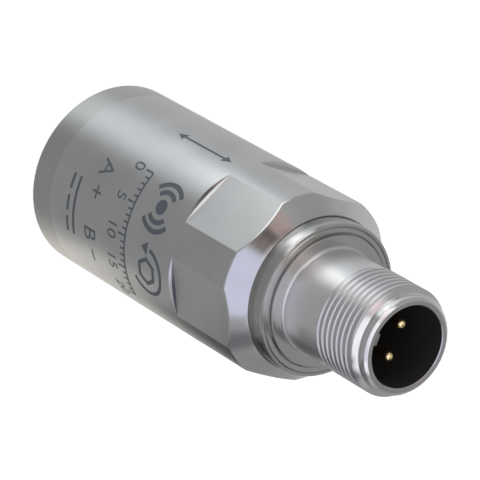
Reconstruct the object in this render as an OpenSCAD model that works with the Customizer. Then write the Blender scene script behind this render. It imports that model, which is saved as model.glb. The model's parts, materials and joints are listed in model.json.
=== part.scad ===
// Loop-powered piezoelectric vibration sensor with a threaded two-pin connector.
// Origin at the centre of the mounting face, +Z along the axis towards the connector.
// Pieces stack upwards from the mounting face, so every height follows from the ones below it.

/* [Base and case] */
// Outer diameter of the base and the case
case_d = 28.3; // [26:0.1:34]
// Wall of the case around its bore
case_wall = 1.9; // [1.6:0.1:2.4]
// Height of the base below the weld seam
base_h = 5.1; // [4.5:0.1:8]
// Height of the base's register inside the case
register_h = 3.5; // [2.5:0.1:5]
// Bevel along the lower edge of the base
base_bevel = 0.4; // [0.2:0.05:0.8]
// Bevel on each side of the weld seam
seam_bevel = 0.14; // [0.06:0.02:0.3]
// Radius of the tapped mounting hole's wall, for a 1/4-28 UNF stud
stud_hole_r = 2.75; // [2.1:0.05:3.4]
// Depth of the tapped mounting hole
stud_hole_depth = 6.5; // [5:0.1:7]
// Depth of the lead-in cone at the hole's mouth
stud_lead_in = 0.6; // [0.3:0.05:1]
// Thickness of the case's closed end
roof_t = 4.9; // [3.5:0.05:6]
// Height of the sloping edge round the closed end
slope_h = 2.75; // [1.5:0.05:3]
// Radial clearance of pieces that slide into the case's bore
bore_gap = 0.1; // [0.05:0.01:0.2]

/* [Wrench flats] */
// Number of wrench flats
flat_count = 6; // [4:2:6]
// Depth of each flat below the case's outer surface
flat_depth = 0.78; // [0.4:0.02:1]
// Length of the flats along the axis, down from the closed end
flat_len = 15.2; // [10:0.05:18]

/* [Connector shell] */
// Major diameter of the coupling thread, 5/8-24 UNEF
thread_d = 15.875; // [15:0.005:18]
// Length of the threaded stretch
thread_len = 7.95; // [6:0.05:10]
// How far the plain neck lies below the thread's crests
neck_relief = 0.17; // [0.16:0.01:0.3]
// Length of the plain neck below the thread
neck_len = 7.6; // [6:0.1:10]
// Radius of the fillet at the neck's root
neck_fillet = 0.5; // [0.2:0.05:0.8]
// Length of the unthreaded nose
nose_len = 2.05; // [1.6:0.05:2.5]
// Length of the slope from the thread to the nose
nose_slope = 0.55; // [0.3:0.05:0.8]
// How far the nose lies below the thread's crests
nose_drop = 0.82; // [0.6:0.02:0.95]
// Rounding of the front lip's outer edge
lip_round = 0.45; // [0.2:0.05:0.5]
// Bevel of the front lip's inner edge
lip_bevel = 0.12; // [0.05:0.01:0.2]
// Diameter of the socket
socket_d = 11.9; // [10.5:0.1:12.2]
// Depth of the socket in front of the insert
socket_depth = 11.8; // [10:0.1:13]
// Width of the polarising key
key_w = 1.8; // [1.2:0.1:2.4]
// Height of the polarising key above the socket's wall
key_h = 0.95; // [0.7:0.05:1.3]
// How far the key starts behind the front lip
key_setback = 0.5; // [0.2:0.05:1]
// Radial width of the flange outside the neck
flange_rim = 1.94; // [1.4:0.01:2.5]
// Thickness of the flange
flange_t = 2; // [1.6:0.05:3]
// Depth of the flange's seat in the collar
flange_sink = 1.55; // [1:0.05:1.8]
// Rounding of the flange's upper edge
flange_round = 0.3; // [0.1:0.05:0.5]
// Radial gap round the flange in its seat
flange_gap = 0.1; // [0.05:0.01:0.2]
// Height of the case's collar round the flange
collar_h = 2.65; // [2.4:0.05:4]
// Wall of the collar outside the flange
collar_wall = 1.55; // [1.1:0.05:2]
// Rounding of the collar's outer upper edge
collar_round = 0.4; // [0.3:0.05:0.9]
// Length of the shell's tail below its flange
tail_len = 3.7; // [2.6:0.1:4.5]
// Radial clearance round the tail
tail_gap = 0.15; // [0.1:0.01:0.3]

/* [Insert and contacts] */
// Length of the insulating insert
insert_len = 7; // [5:0.1:8]
// Radial step of the bore that the insert seats against
insert_step = 0.55; // [0.4:0.05:0.7]
// Radial clearance of the insert in its bore
insert_gap = 0.05; // [0.02:0.01:0.1]
// Thickness of the ring that holds the insert
retainer_t = 1; // [0.6:0.05:1.4]
// Radial width of the ring that holds the insert
retainer_w = 1.2; // [0.8:0.05:1.6]
// Distance between the two contacts
pin_pitch = 4.8; // [4.4:0.1:5.4]
// Diameter of a contact, size 16
pin_d = 1.58; // [1.4:0.02:1.8]
// How far a contact's tip lies behind the front lip
pin_setback = 2.2; // [1.5:0.1:4]
// How far a contact is thickened inside the insert, as radius
shank_step = 0.2; // [0.16:0.01:0.3]
// Thickness of a contact's stop collar
pin_collar_t = 0.8; // [0.5:0.05:1]
// Radial width of a contact's stop collar
pin_collar_w = 0.55; // [0.3:0.05:0.7]
// Length of a contact's solder cup
cup_len = 3.2; // [2.4:0.1:4]
// Depth of the hole in a solder cup
cup_depth = 2; // [1.4:0.1:2.2]
// Wall of a solder cup
cup_wall = 0.3; // [0.2:0.05:0.4]

/* [Sensing stack] */
// Diameter of the pedestal that carries the stack
pedestal_d = 15.2; // [14:0.1:17]
// Height of the pedestal above the register
pedestal_h = 3.4; // [2.8:0.1:5]
// Outer diameter of a piezo ring
piezo_d = 13.4; // [11:0.1:14]
// Thickness of a piezo ring
piezo_t = 2; // [1:0.1:3]
// Thickness of the isolation washer
isolator_t = 0.8; // [0.5:0.05:1.5]
// How far the isolation washer reaches past the piezo rings
isolator_rim = 0.4; // [0.2:0.05:0.6]
// Thickness of the centre electrode
electrode_t = 0.3; // [0.2:0.05:0.5]
// Width of the electrode's solder tab
tab_w = 1.8; // [1.4:0.1:2.4]
// How far the tab reaches past the lead's centre
tab_end = 0.8; // [0.6:0.05:1]
// Diameter of the seismic mass
mass_d = 14.4; // [12:0.1:15.8]
// Height of the seismic mass
mass_h = 8; // [6:0.1:10]
// Bevel on the mass's edges
mass_bevel = 0.4; // [0.2:0.05:0.8]
// Diameter of the preload screw
screw_d = 3; // [2.5:0.1:3.5]
// Length of screw held in the pedestal
screw_grip = 3.8; // [3:0.1:4.2]
// Depth left free below the screw's tip
screw_tip_gap = 0.3; // [0.2:0.05:0.5]
// Diameter of the screw's head
head_d = 5.5; // [5:0.1:6.5]
// Height of the screw's head
head_h = 3; // [2.4:0.1:3.6]
// Width across the head's hexagonal recess
hex_w = 2.5; // [2:0.1:3]
// Depth of the head's hexagonal recess
hex_depth = 1.5; // [1:0.1:1.8]
// Height of the conical spring washer
spring_h = 0.8; // [0.6:0.05:1.1]
// Thickness of the conical spring washer
spring_t = 0.4; // [0.3:0.05:0.5]
// Diameter of the conical spring washer
spring_d = 6.4; // [5.6:0.1:7.5]
// Wall of the insulating sleeve round the screw
sleeve_wall = 0.35; // [0.25:0.05:0.5]
// How far the sleeve ends below the top of the mass
sleeve_setback = 0.6; // [0.3:0.05:1]
// Radial clearance between the screw, the sleeve and the stack
stack_gap = 0.05; // [0.02:0.01:0.1]

/* [Shield] */
// Radial gap between the shield and the case's bore
shield_gap = 1; // [0.8:0.05:1.4]
// Wall of the shield
shield_t = 0.4; // [0.3:0.05:0.6]
// Clearance between the screw's head and the shield
shield_air = 1.1; // [0.6:0.05:2]
// How far the shield's foot stands out from its wall
shield_foot = 0.6; // [0.4:0.05:0.7]
// Diameter of the signal lead over its insulation
signal_d = 0.8; // [0.6:0.05:1]
// Diameter of the signal lead's bare wire
signal_wire_d = 0.4; // [0.3:0.05:0.5]
// Wall of the grommet round the signal lead
grommet_wall = 0.3; // [0.2:0.05:0.4]
// Height of the grommet's lips on each side of the shield
grommet_lip_h = 0.4; // [0.3:0.05:0.6]
// How far the grommet's lips overlap the shield
grommet_lip_w = 0.25; // [0.15:0.05:0.3]

/* [Circuit boards] */
// Thickness of a circuit board
board_t = 1.6; // [1:0.1:2]
// Radial gap between a board and the case's bore
board_gap = 0.6; // [0.4:0.05:0.8]
// Height of the insulating ring under the lower board
board_ring_h = 2.6; // [2:0.1:4]
// Height of the insulating ring between the upper board and the closed end
top_ring_h = 3.8; // [3.2:0.1:5]
// Radial width of both insulating rings
ring_w = 1.5; // [1.2:0.05:1.7]
// Number of spacers between the boards
spacer_count = 3; // [3:1:3]
// Distance between the two boards
spacer_h = 6.5; // [4.5:0.1:9]
// Diameter of a board spacer
spacer_d = 2.8; // [2.2:0.1:3]
// Diameter of a spacer's peg in each board
peg_d = 1.6; // [1.2:0.05:1.8]
// How far the spacers' centres lie inside the boards' edge
spacer_inset = 2.4; // [2:0.1:2.8]
// Clearance round wires, pegs and pins in the boards' holes
hole_gap = 0.06; // [0.03:0.01:0.12]
// Pitch of the pins between the boards
header_pitch = 2.54; // [2:0.01:2.6]
// Number of pins between the boards
header_pins = 3; // [2:1:3]
// Height of the header's strip
header_h = 2.5; // [2:0.1:3]
// Diameter of a header pin
header_pin_d = 0.64; // [0.5:0.02:0.8]
// How far header pins stand out past the boards
header_tail = 0.6; // [0.3:0.05:0.9]
// Diameter of a power lead over its insulation
power_d = 1.2; // [1:0.05:1.4]
// Diameter of a power lead's bare wire
power_wire_d = 0.7; // [0.5:0.05:0.8]

/* [Components] */
// Length, width and height of the charge amplifier's body
amplifier_size = [4.9, 3.9, 1.5]; // [1:0.05:6]
// Place of the charge amplifier on the lower board
amplifier_at = [0, 2.5]; // [-3:0.1:3]
// Legs on each side of the charge amplifier
amplifier_legs = 4; // [2:1:4]
// Length, width and height of a filter capacitor
filter_size = [3.2, 1.6, 1.3]; // [1:0.05:4]
// Place of the first filter capacitor on the lower board
filter_at = [-5.2, 3]; // [-6:0.1:6]
// Distance between the filter capacitors
filter_pitch = 2.4; // [2:0.1:3]
// Place of the header's middle on both boards
header_at = [-2.5, -6]; // [-6:0.1:0]
// Length, width and height of the converter's body
converter_size = [8.65, 3.9, 1.5]; // [1:0.05:9]
// Place of the converter on the upper board
converter_at = [0, 4.2]; // [-1:0.1:5]
// Legs on each side of the converter
converter_legs = 7; // [4:1:7]
// Length, width and height of the loop transistor
transistor_size = [5.3, 3.3, 1.7]; // [1:0.05:6]
// Place of the loop transistor on the upper board
transistor_at = [4.95, -3.55]; // [-6:0.05:6]
// Length, width and height of the smoothing capacitor
smoothing_size = [6, 3.2, 2.5]; // [1:0.05:7]
// Place of the smoothing capacitor on the upper board
smoothing_at = [-6.4, -1.2]; // [-7:0.1:0]
// Length, width and height of the surge diode
diode_size = [4.3, 2.6, 2.2]; // [1:0.05:5]
// Place of the surge diode on the upper board
diode_at = [6.2, 2.55]; // [0:0.05:7]
// Length of the metal caps on the small components' ends
terminal_l = 0.9; // [0.4:0.05:1.2]
// How far the metal caps stand out from a component
terminal_rim = 0.05; // [0.02:0.01:0.1]
// Pitch of a chip's legs
leg_pitch = 1.27; // [0.8:0.01:1.3]
// Width of a chip's leg
leg_w = 0.42; // [0.3:0.02:0.5]
// Thickness of a chip's leg
leg_t = 0.2; // [0.15:0.01:0.25]
// How far a chip's legs reach out from its body
leg_reach = 1.05; // [0.8:0.05:1.2]
// Clearance under a chip's body
chip_lift = 0.15; // [0.1:0.01:0.2]

/* [Hidden] */
$fn = 96;

// Overrun of cutting shapes past the faces that they cut
cut = 1;
// Straight pieces in each rounded edge
round_steps = 6;
// Most of a wall that its rounded edge may take
round_share = 0.8;

// Heights of the seats, from the mounting face up
seam_z = base_h;
register_z = seam_z + register_h;
pedestal_z = register_z + pedestal_h;
lower_piezo_z = pedestal_z + isolator_t;
electrode_z = lower_piezo_z + piezo_t;
upper_piezo_z = electrode_z + electrode_t;
mass_z = upper_piezo_z + piezo_t;
mass_top_z = mass_z + mass_h;
head_z = mass_top_z + spring_h;
shield_roof_z = head_z + head_h + shield_air;
shield_top_z = shield_roof_z + shield_t;
lower_board_z = shield_top_z + board_ring_h;
lower_board_top_z = lower_board_z + board_t;
upper_board_z = lower_board_top_z + spacer_h;
upper_board_top_z = upper_board_z + board_t;
roof_z = upper_board_top_z + top_ring_h;
shoulder_z = roof_z + roof_t;
collar_z = shoulder_z + collar_h;
flange_seat_z = collar_z - flange_sink;
flange_top_z = flange_seat_z + flange_t;
thread_z = flange_top_z + neck_len;
nose_z = thread_z + thread_len;
front_z = nose_z + nose_len;
insert_z = front_z - socket_depth;
insert_rear_z = insert_z - insert_len;
retainer_z = insert_rear_z - retainer_t;
cup_top_z = insert_rear_z - pin_collar_t;
cup_z = cup_top_z - cup_len;
tail_z = flange_seat_z - tail_len;

// Radii of the pieces that fit each other
case_r = case_d / 2;
bore_r = case_r - case_wall;
seat_r = bore_r - bore_gap;
flat_r = case_r - flat_depth;
thread_r = thread_d / 2;
neck_r = thread_r - neck_relief;
socket_r = socket_d / 2;
insert_bore_r = socket_r + insert_step;
flange_r = neck_r + flange_rim;
flange_seat_r = flange_r + flange_gap;
collar_r = flange_seat_r + collar_wall;
pin_r = pin_d / 2;
power_wire_r = power_wire_d / 2;
power_hole_r = power_wire_r + hole_gap;
cup_r = power_hole_r + cup_wall;
screw_r = screw_d / 2;
sleeve_in_r = screw_r + stack_gap;
sleeve_r = sleeve_in_r + sleeve_wall;
stack_hole_r = sleeve_r + stack_gap;
shield_r = bore_r - shield_gap;
shield_in_r = shield_r - shield_t;
signal_r = signal_d / 2;
signal_wire_r = signal_wire_d / 2;
grommet_r = signal_r + grommet_wall;
board_r = bore_r - board_gap;
ring_in_r = seat_r - ring_w;
peg_r = peg_d / 2;
spacer_circle_r = board_r - spacer_inset;

// The signal lead runs midway between the mass and the shield
lead_x = (mass_d / 2 + shield_in_r) / 2;
// Distance of each contact from the axis
pin_x = pin_pitch / 2;
// Angle of each board spacer, clear of the signal lead
first_spacer_angle = 60;
function spacer_angle(i) = first_spacer_angle + 360 * (i - 1) / spacer_count;

// Points of an arc about a centre, from one angle to another
function arc(centre, r, from, to) =
    [for (i = [0:round_steps])
        let (a = from + (to - from) * i / round_steps)
        centre + r * [cos(a), sin(a)]];

// A ring with a flat section
module ring(outer_r, inner_r, h) {
    difference() {
        cylinder(r = outer_r, h = h);
        translate([0, 0, -cut]) cylinder(r = inner_r, h = h + 2 * cut);
    }
}

// A centred block that stands on the plane below it
module block(size) {
    translate([-size.x / 2, -size.y / 2, 0]) cube(size);
}

// Turned base with its register, pedestal, tapped mounting hole and screw hole
module base() {
    bottom_r = case_r - base_bevel;
    mouth_r = stud_hole_r + stud_lead_in;
    color("silver")
    difference() {
        rotate_extrude()
            polygon([
                [0, 0], [bottom_r, 0], [case_r, base_bevel], [case_r, seam_z - seam_bevel],
                [case_r - seam_bevel, seam_z], [seat_r, seam_z], [seat_r, register_z],
                [pedestal_d / 2, register_z], [pedestal_d / 2, pedestal_z], [0, pedestal_z]]);
        translate([0, 0, -cut]) cylinder(r = stud_hole_r, h = stud_hole_depth + cut);
        rotate_extrude()
            polygon([
                [0, -cut], [mouth_r, -cut], [mouth_r, 0], [stud_hole_r, stud_lead_in], [0, stud_lead_in]]);
        translate([0, 0, pedestal_z - screw_grip - screw_tip_gap])
            cylinder(r = screw_r, h = screw_grip + screw_tip_gap + cut);
    }
}

// Turned case with milled wrench flats and a collar that takes the connector's flange
module case() {
    edge = min(collar_round, round_share * collar_wall);
    hole_r = neck_r + tail_gap;
    color("silver")
    difference() {
        rotate_extrude()
            polygon(concat(
                [[bore_r, seam_z], [case_r - seam_bevel, seam_z], [case_r, seam_z + seam_bevel],
                 [case_r, shoulder_z - slope_h], [collar_r, shoulder_z]],
                arc([collar_r - edge, collar_z - edge], edge, 0, 90),
                [[flange_seat_r, collar_z], [flange_seat_r, flange_seat_z], [hole_r, flange_seat_z],
                 [hole_r, roof_z], [bore_r, roof_z]]));
        for (i = [0:flat_count - 1])
            rotate(360 * i / flat_count)
                translate([flat_r, -case_r, shoulder_z - flat_len])
                    cube([case_d, case_d, flat_len + cut]);
    }
}

// Turned connector shell with flange, neck, thread blank, nose and polarising key
module connector_shell() {
    nose_r = thread_r - nose_drop;
    color("gainsboro")
    union() {
        rotate_extrude()
            polygon(concat(
                [[insert_bore_r, tail_z], [neck_r, tail_z], [neck_r, flange_seat_z],
                 [flange_r, flange_seat_z]],
                arc([flange_r - flange_round, flange_top_z - flange_round], flange_round, 0, 90),
                arc([neck_r + neck_fillet, flange_top_z + neck_fillet], neck_fillet, 270, 180),
                [[neck_r, thread_z], [thread_r, thread_z], [thread_r, nose_z],
                 [nose_r, nose_z + nose_slope]],
                arc([nose_r - lip_round, front_z - lip_round], lip_round, 0, 90),
                [[socket_r + lip_bevel, front_z], [socket_r, front_z - lip_bevel],
                 [socket_r, insert_z], [insert_bore_r, insert_z]]));
        intersection() {
            translate([-key_w / 2, -socket_r - insert_step, insert_z])
                cube([key_w, insert_step + key_h, socket_depth - key_setback]);
            translate([0, 0, insert_z]) cylinder(r = insert_bore_r, h = socket_depth);
        }
    }
}

// Moulded insert that holds the contacts apart
module connector_insert() {
    color("dimgray")
    difference() {
        translate([0, 0, insert_rear_z]) cylinder(r = insert_bore_r - insert_gap, h = insert_len);
        for (side = [-1, 1])
            translate([side * pin_x, 0, insert_rear_z - cut])
                cylinder(r = pin_r + shank_step, h = insert_len + 2 * cut);
    }
}

// Ring pressed into the shell behind the insert
module insert_retainer() {
    color("silver")
    translate([0, 0, retainer_z]) ring(insert_bore_r, insert_bore_r - retainer_w, retainer_t);
}

// Round-nosed contact with a stop collar and a solder cup
module contact_pin(side) {
    tip_z = front_z - pin_setback;
    color("gold")
    translate([side * pin_x, 0, 0])
    difference() {
        rotate_extrude()
            polygon(concat(
                [[0, cup_z], [cup_r, cup_z], [cup_r, cup_top_z], [pin_r + pin_collar_w, cup_top_z],
                 [pin_r + pin_collar_w, insert_rear_z], [pin_r + shank_step, insert_rear_z],
                 [pin_r + shank_step, insert_z], [pin_r, insert_z]],
                arc([0, tip_z - pin_r], pin_r, 0, 90)));
        translate([0, 0, cup_z - cut]) cylinder(r = power_hole_r, h = cup_depth + cut);
    }
}

module contact_pin_a() { contact_pin(-1); }
module contact_pin_b() { contact_pin(1); }

// Ceramic washer that isolates the stack from the base
module isolation_washer() {
    color("ivory")
    translate([0, 0, pedestal_z]) ring(piezo_d / 2 + isolator_rim, stack_hole_r, isolator_t);
}

module piezo_ring(z) {
    color("khaki")
    translate([0, 0, z]) ring(piezo_d / 2, stack_hole_r, piezo_t);
}

module lower_piezo_ring() { piezo_ring(lower_piezo_z); }
module upper_piezo_ring() { piezo_ring(upper_piezo_z); }

// Electrode between the rings, with a tab that takes the signal lead
module centre_electrode() {
    color("goldenrod")
    translate([0, 0, electrode_z])
    difference() {
        union() {
            cylinder(r = piezo_d / 2, h = electrode_t);
            translate([0, -tab_w / 2, 0]) cube([lead_x + tab_end, tab_w, electrode_t]);
        }
        translate([0, 0, -cut]) cylinder(r = stack_hole_r, h = electrode_t + 2 * cut);
        translate([lead_x, 0, -cut]) cylinder(r = signal_wire_r, h = electrode_t + 2 * cut);
    }
}

// Heavy ring that loads the piezo rings as the machine vibrates
module seismic_mass() {
    r = mass_d / 2;
    color("slategray")
    rotate_extrude()
        polygon([
            [stack_hole_r, mass_z], [r - mass_bevel, mass_z], [r, mass_z + mass_bevel],
            [r, mass_top_z - mass_bevel], [r - mass_bevel, mass_top_z], [stack_hole_r, mass_top_z]]);
}

// Insulating sleeve between the screw and the stack
module stack_sleeve() {
    color("wheat")
    translate([0, 0, pedestal_z])
        ring(sleeve_r, sleeve_in_r, mass_top_z - sleeve_setback - pedestal_z);
}

// Conical washer that keeps the preload
module spring_washer() {
    inner_r = sleeve_in_r + stack_gap;
    color("darkgray")
    translate([0, 0, mass_top_z])
    rotate_extrude()
        polygon([
            [inner_r, spring_h - spring_t], [spring_d / 2, 0],
            [spring_d / 2, spring_t], [inner_r, spring_h]]);
}

// Socket-head screw that clamps the stack to the pedestal
module preload_screw() {
    tip_z = pedestal_z - screw_grip;
    color("gray")
    difference() {
        union() {
            translate([0, 0, tip_z]) cylinder(r = screw_r, h = head_z - tip_z);
            translate([0, 0, head_z]) cylinder(r = head_d / 2, h = head_h);
        }
        translate([0, 0, head_z + head_h - hex_depth])
            cylinder(r = hex_w / sqrt(3), h = hex_depth + cut, $fn = 6);
    }
}

// Drawn cup that screens the stack, with a foot on the base's register
module shield_can() {
    foot_r = shield_r + shield_foot;
    color("lightsteelblue")
    difference() {
        rotate_extrude()
            polygon([
                [shield_in_r, register_z], [foot_r, register_z], [foot_r, register_z + shield_t],
                [shield_r, register_z + shield_t], [shield_r, shield_top_z], [0, shield_top_z],
                [0, shield_roof_z], [shield_in_r, shield_roof_z]]);
        translate([lead_x, 0, shield_roof_z - cut]) cylinder(r = grommet_r, h = shield_t + 2 * cut);
    }
}

// Soft bush that guides the signal lead through the shield
module lead_grommet() {
    lip_r = grommet_r + grommet_lip_w;
    color("dimgray")
    translate([lead_x, 0, 0])
    rotate_extrude()
        polygon([
            [signal_r, shield_roof_z - grommet_lip_h], [lip_r, shield_roof_z - grommet_lip_h],
            [lip_r, shield_roof_z], [grommet_r, shield_roof_z], [grommet_r, shield_top_z],
            [lip_r, shield_top_z], [lip_r, shield_top_z + grommet_lip_h],
            [signal_r, shield_top_z + grommet_lip_h]]);
}

// Insulated wire with bare ends, along the axis
module lead(x, wire_from, cover_from, cover_to, wire_to, cover_r, wire_r) {
    translate([x, 0, 0])
    rotate_extrude()
        polygon([
            [0, wire_from], [wire_r, wire_from], [wire_r, cover_from], [cover_r, cover_from],
            [cover_r, cover_to], [wire_r, cover_to], [wire_r, wire_to], [0, wire_to]]);
}

// Wire from the electrode's tab to the lower board
module signal_lead() {
    color("white")
    lead(lead_x, electrode_z, upper_piezo_z, lower_board_z, lower_board_top_z, signal_r, signal_wire_r);
}

// Insulating ring that carries the lower board on the shield
module board_ring() {
    color("whitesmoke")
    translate([0, 0, shield_top_z]) ring(seat_r, ring_in_r, board_ring_h);
}

// Insulating ring that holds the boards down from the case's closed end
module top_ring() {
    color("whitesmoke")
    translate([0, 0, upper_board_top_z]) ring(seat_r, ring_in_r, top_ring_h);
}

// Places of the header's pins, and its children drawn at each
module at_header_pins() {
    for (i = [0:header_pins - 1])
        translate(concat(header_at, 0) + [(i - (header_pins - 1) / 2) * header_pitch, 0, 0]) children();
}

// Round circuit board with holes for the spacers and the header
module board(z) {
    hole_h = board_t + 2 * cut;
    translate([0, 0, z])
    difference() {
        cylinder(r = board_r, h = board_t);
        for (i = [1:spacer_count])
            rotate(spacer_angle(i))
                translate([spacer_circle_r, 0, -cut]) cylinder(r = peg_r + hole_gap, h = hole_h);
        at_header_pins() translate([0, 0, -cut]) cylinder(r = header_pin_d / 2 + hole_gap, h = hole_h);
    }
}

module lower_board() {
    color("seagreen")
    difference() {
        board(lower_board_z);
        translate([lead_x, 0, lower_board_z - cut])
            cylinder(r = signal_wire_r + hole_gap, h = board_t + 2 * cut);
    }
}

module upper_board() {
    color("seagreen")
    difference() {
        board(upper_board_z);
        for (side = [-1, 1])
            translate([side * pin_x, 0, upper_board_z - cut])
                cylinder(r = power_hole_r, h = board_t + 2 * cut);
    }
}

// Spacer with a peg in each board
module board_spacer(i) {
    color("wheat")
    rotate(spacer_angle(i))
    translate([spacer_circle_r, 0, 0]) {
        translate([0, 0, lower_board_z]) cylinder(r = peg_r, h = upper_board_top_z - lower_board_z);
        translate([0, 0, lower_board_top_z]) cylinder(r = spacer_d / 2, h = spacer_h);
    }
}

// Strip of pins that joins the two boards
module board_header() {
    pin_from = lower_board_z - header_tail;
    pin_to = upper_board_top_z + header_tail;
    color("darkslategray")
    union() {
        translate(concat(header_at, lower_board_top_z))
            block([header_pins * header_pitch, header_pitch, header_h]);
        at_header_pins() translate([0, 0, pin_from]) cylinder(r = header_pin_d / 2, h = pin_to - pin_from);
    }
}

// Flat chip on legs along two sides, standing on a board
module chip(body, legs) {
    knee = body.z / 2;
    union() {
        translate([0, 0, chip_lift]) block(body);
        for (side = [-1, 1], i = [0:legs - 1])
            translate([(i - (legs - 1) / 2) * leg_pitch, side * body.y / 2, 0]) {
                translate([0, side * leg_reach / 2, 0]) block([leg_w, leg_reach, leg_t]);
                translate([0, side * leg_t / 2, 0]) block([leg_w, leg_t, knee]);
            }
    }
}

// Moulded two-terminal component with its end caps, standing on a board
module two_terminal(body) {
    rim = terminal_rim;
    union() {
        translate([0, 0, rim]) block([body.x, body.y, body.z - rim]);
        for (side = [-1, 1])
            translate([side * (body.x - terminal_l) / 2, 0, 0])
                block([terminal_l, body.y + 2 * rim, body.z - rim]);
    }
}

// Charge amplifier on the lower board
module amplifier_chip() {
    color("darkslategray")
    translate(concat(amplifier_at, lower_board_top_z)) chip(amplifier_size, amplifier_legs);
}

module filter_capacitor(i) {
    color("burlywood")
    translate(concat(filter_at, lower_board_top_z) + [0, i * filter_pitch, 0]) two_terminal(filter_size);
}

module filter_capacitor_1() { filter_capacitor(0); }
module filter_capacitor_2() { filter_capacitor(1); }

// Converter from vibration level to loop current on the upper board
module converter_chip() {
    color("darkslategray")
    translate(concat(converter_at, upper_board_top_z)) chip(converter_size, converter_legs);
}

// Transistor that sets the loop current
module loop_transistor() {
    color("darkslategray")
    translate(concat(transistor_at, upper_board_top_z)) rotate(90) two_terminal(transistor_size);
}

// Capacitor that smooths the loop's supply
module smoothing_capacitor() {
    color("darkorange")
    translate(concat(smoothing_at, upper_board_top_z)) rotate(90) two_terminal(smoothing_size);
}

// Diode that clamps surges on the loop
module surge_diode() {
    color("darkslategray")
    translate(concat(diode_at, upper_board_top_z)) rotate(90) two_terminal(diode_size);
}

// Wire from the upper board to a contact's solder cup
module power_lead(side) {
    lead(side * pin_x, upper_board_z, upper_board_top_z, cup_z, cup_z + cup_depth, power_d / 2, power_wire_r);
}

module power_lead_a() { color("firebrick") power_lead(-1); }
module power_lead_b() { color("black") power_lead(1); }

base();
case();
connector_shell();
connector_insert();
insert_retainer();
contact_pin_a();
contact_pin_b();
isolation_washer();
lower_piezo_ring();
centre_electrode();
upper_piezo_ring();
seismic_mass();
stack_sleeve();
spring_washer();
preload_screw();
shield_can();
lead_grommet();
signal_lead();
board_ring();
lower_board();
amplifier_chip();
filter_capacitor_1();
filter_capacitor_2();
board_header();
for (i = [1:spacer_count])
    board_spacer(i);
upper_board();
converter_chip();
loop_transistor();
smoothing_capacitor();
surge_diode();
top_ring();
power_lead_a();
power_lead_b();
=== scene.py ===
"""Looks of a loop-powered vibration sensor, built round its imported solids.

Sizes are in millimetres and angles in degrees; points become metres when a mesh is made.
"""

import json
import math
from typing import NamedTuple

import bmesh
import bpy
from mathutils import Matrix, Quaternion, Vector


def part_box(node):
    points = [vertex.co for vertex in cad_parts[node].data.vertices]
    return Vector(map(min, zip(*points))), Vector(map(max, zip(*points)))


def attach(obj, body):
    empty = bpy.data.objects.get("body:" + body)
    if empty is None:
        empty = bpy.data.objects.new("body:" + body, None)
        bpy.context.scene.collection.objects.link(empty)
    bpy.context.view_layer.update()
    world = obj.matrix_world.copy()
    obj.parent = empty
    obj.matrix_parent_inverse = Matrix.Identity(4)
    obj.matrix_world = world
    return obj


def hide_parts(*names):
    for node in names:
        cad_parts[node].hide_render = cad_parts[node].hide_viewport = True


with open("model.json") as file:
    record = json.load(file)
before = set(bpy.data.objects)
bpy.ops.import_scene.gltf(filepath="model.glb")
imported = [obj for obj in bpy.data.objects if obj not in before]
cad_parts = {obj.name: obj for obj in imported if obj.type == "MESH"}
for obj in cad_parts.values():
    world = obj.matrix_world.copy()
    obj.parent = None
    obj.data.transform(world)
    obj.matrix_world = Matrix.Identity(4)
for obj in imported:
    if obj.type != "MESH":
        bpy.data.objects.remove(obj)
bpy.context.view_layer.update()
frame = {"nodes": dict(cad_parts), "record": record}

MM = 0.001


def corners(node):
    """Lowest and highest corner of a solid, in millimetres."""
    low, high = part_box(node)
    return Vector(low) / MM, Vector(high) / MM


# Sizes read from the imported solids
case_low, case_high = corners("case")
shell_low, shell_high = corners("connector_shell")
_, base_high = corners("base")
insert_low, insert_high = corners("connector_insert")
pin_low, pin_high = corners("contact_pin_b")

CASE_R = min(case_high.x, case_high.y)
SEAM_Z = case_low.z
COLLAR_Z = case_high.z
FLANGE_R = min(shell_high.x, shell_high.y)
TAIL_Z = shell_low.z
FRONT_Z = shell_high.z
INSERT_R = insert_high.x
INSERT_Z = insert_high.z
INSERT_REAR_Z = insert_low.z
PIN_X = (pin_low.x + pin_high.x) / 2
PIN_TIP_Z = pin_high.z
CUP_Z = pin_low.z
PEDESTAL_Z = base_high.z

# Case; its body lies a skin below the lands, which leaves room for the markings
SKIN = 0.015
SKIN_RUN = 1
BODY_R = CASE_R - SKIN
BODY_END_Z = 34.6
BODY_RINGS_Z = (8, 12, 18, 24, 30, BODY_END_Z)
BORE_R = 12.25
ROOF_Z = 46.5
SEAM_ROUND = 0.04
SEAM_ARC = 60
FLAT_COUNT = 6
FLAT_R = 13.37
FLAT_START_Z = 36.2
SLOPE_START_Z = 48.65
SHOULDER_Z = 51.4
EDGE_BREAK = 0.12
CASE_SHARP_ANGLE = 18

# The step at a flat's lower end: the share of its depth that the edge takes, and two tilts
STEP_EDGE_SHARE = 0.45
STEP_EDGE_TILT = 47
STEP_FLOOR_TILT = 67

# Collar with the ledge at its foot, a groove in its top and the weld to the flange
LEDGE_W = 0.16
LEDGE_ROUND = 0.1
LEDGE_END_ANGLE = 105
COLLAR_R = 11.3575
COLLAR_FOOT = 0.02
COLLAR_FOOT_H = 0.1
COLLAR_EDGE_W = 0.16
COLLAR_EDGE_H = 0.34
COLLAR_ROUND = 0.05
GROOVE_R = 10.7
GROOVE_OUTER_W = 0.18
GROOVE_INNER_W = 0.11
GROOVE_DEPTH = 0.17
VALLEY_ROUND = 0.25
VALLEY_END_ANGLE = 170
WELD_SINK = 0.2
WELD_GAP = 0.012
WELD_WALL = 0.2
WELD_FLOOR = 0.25

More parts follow.
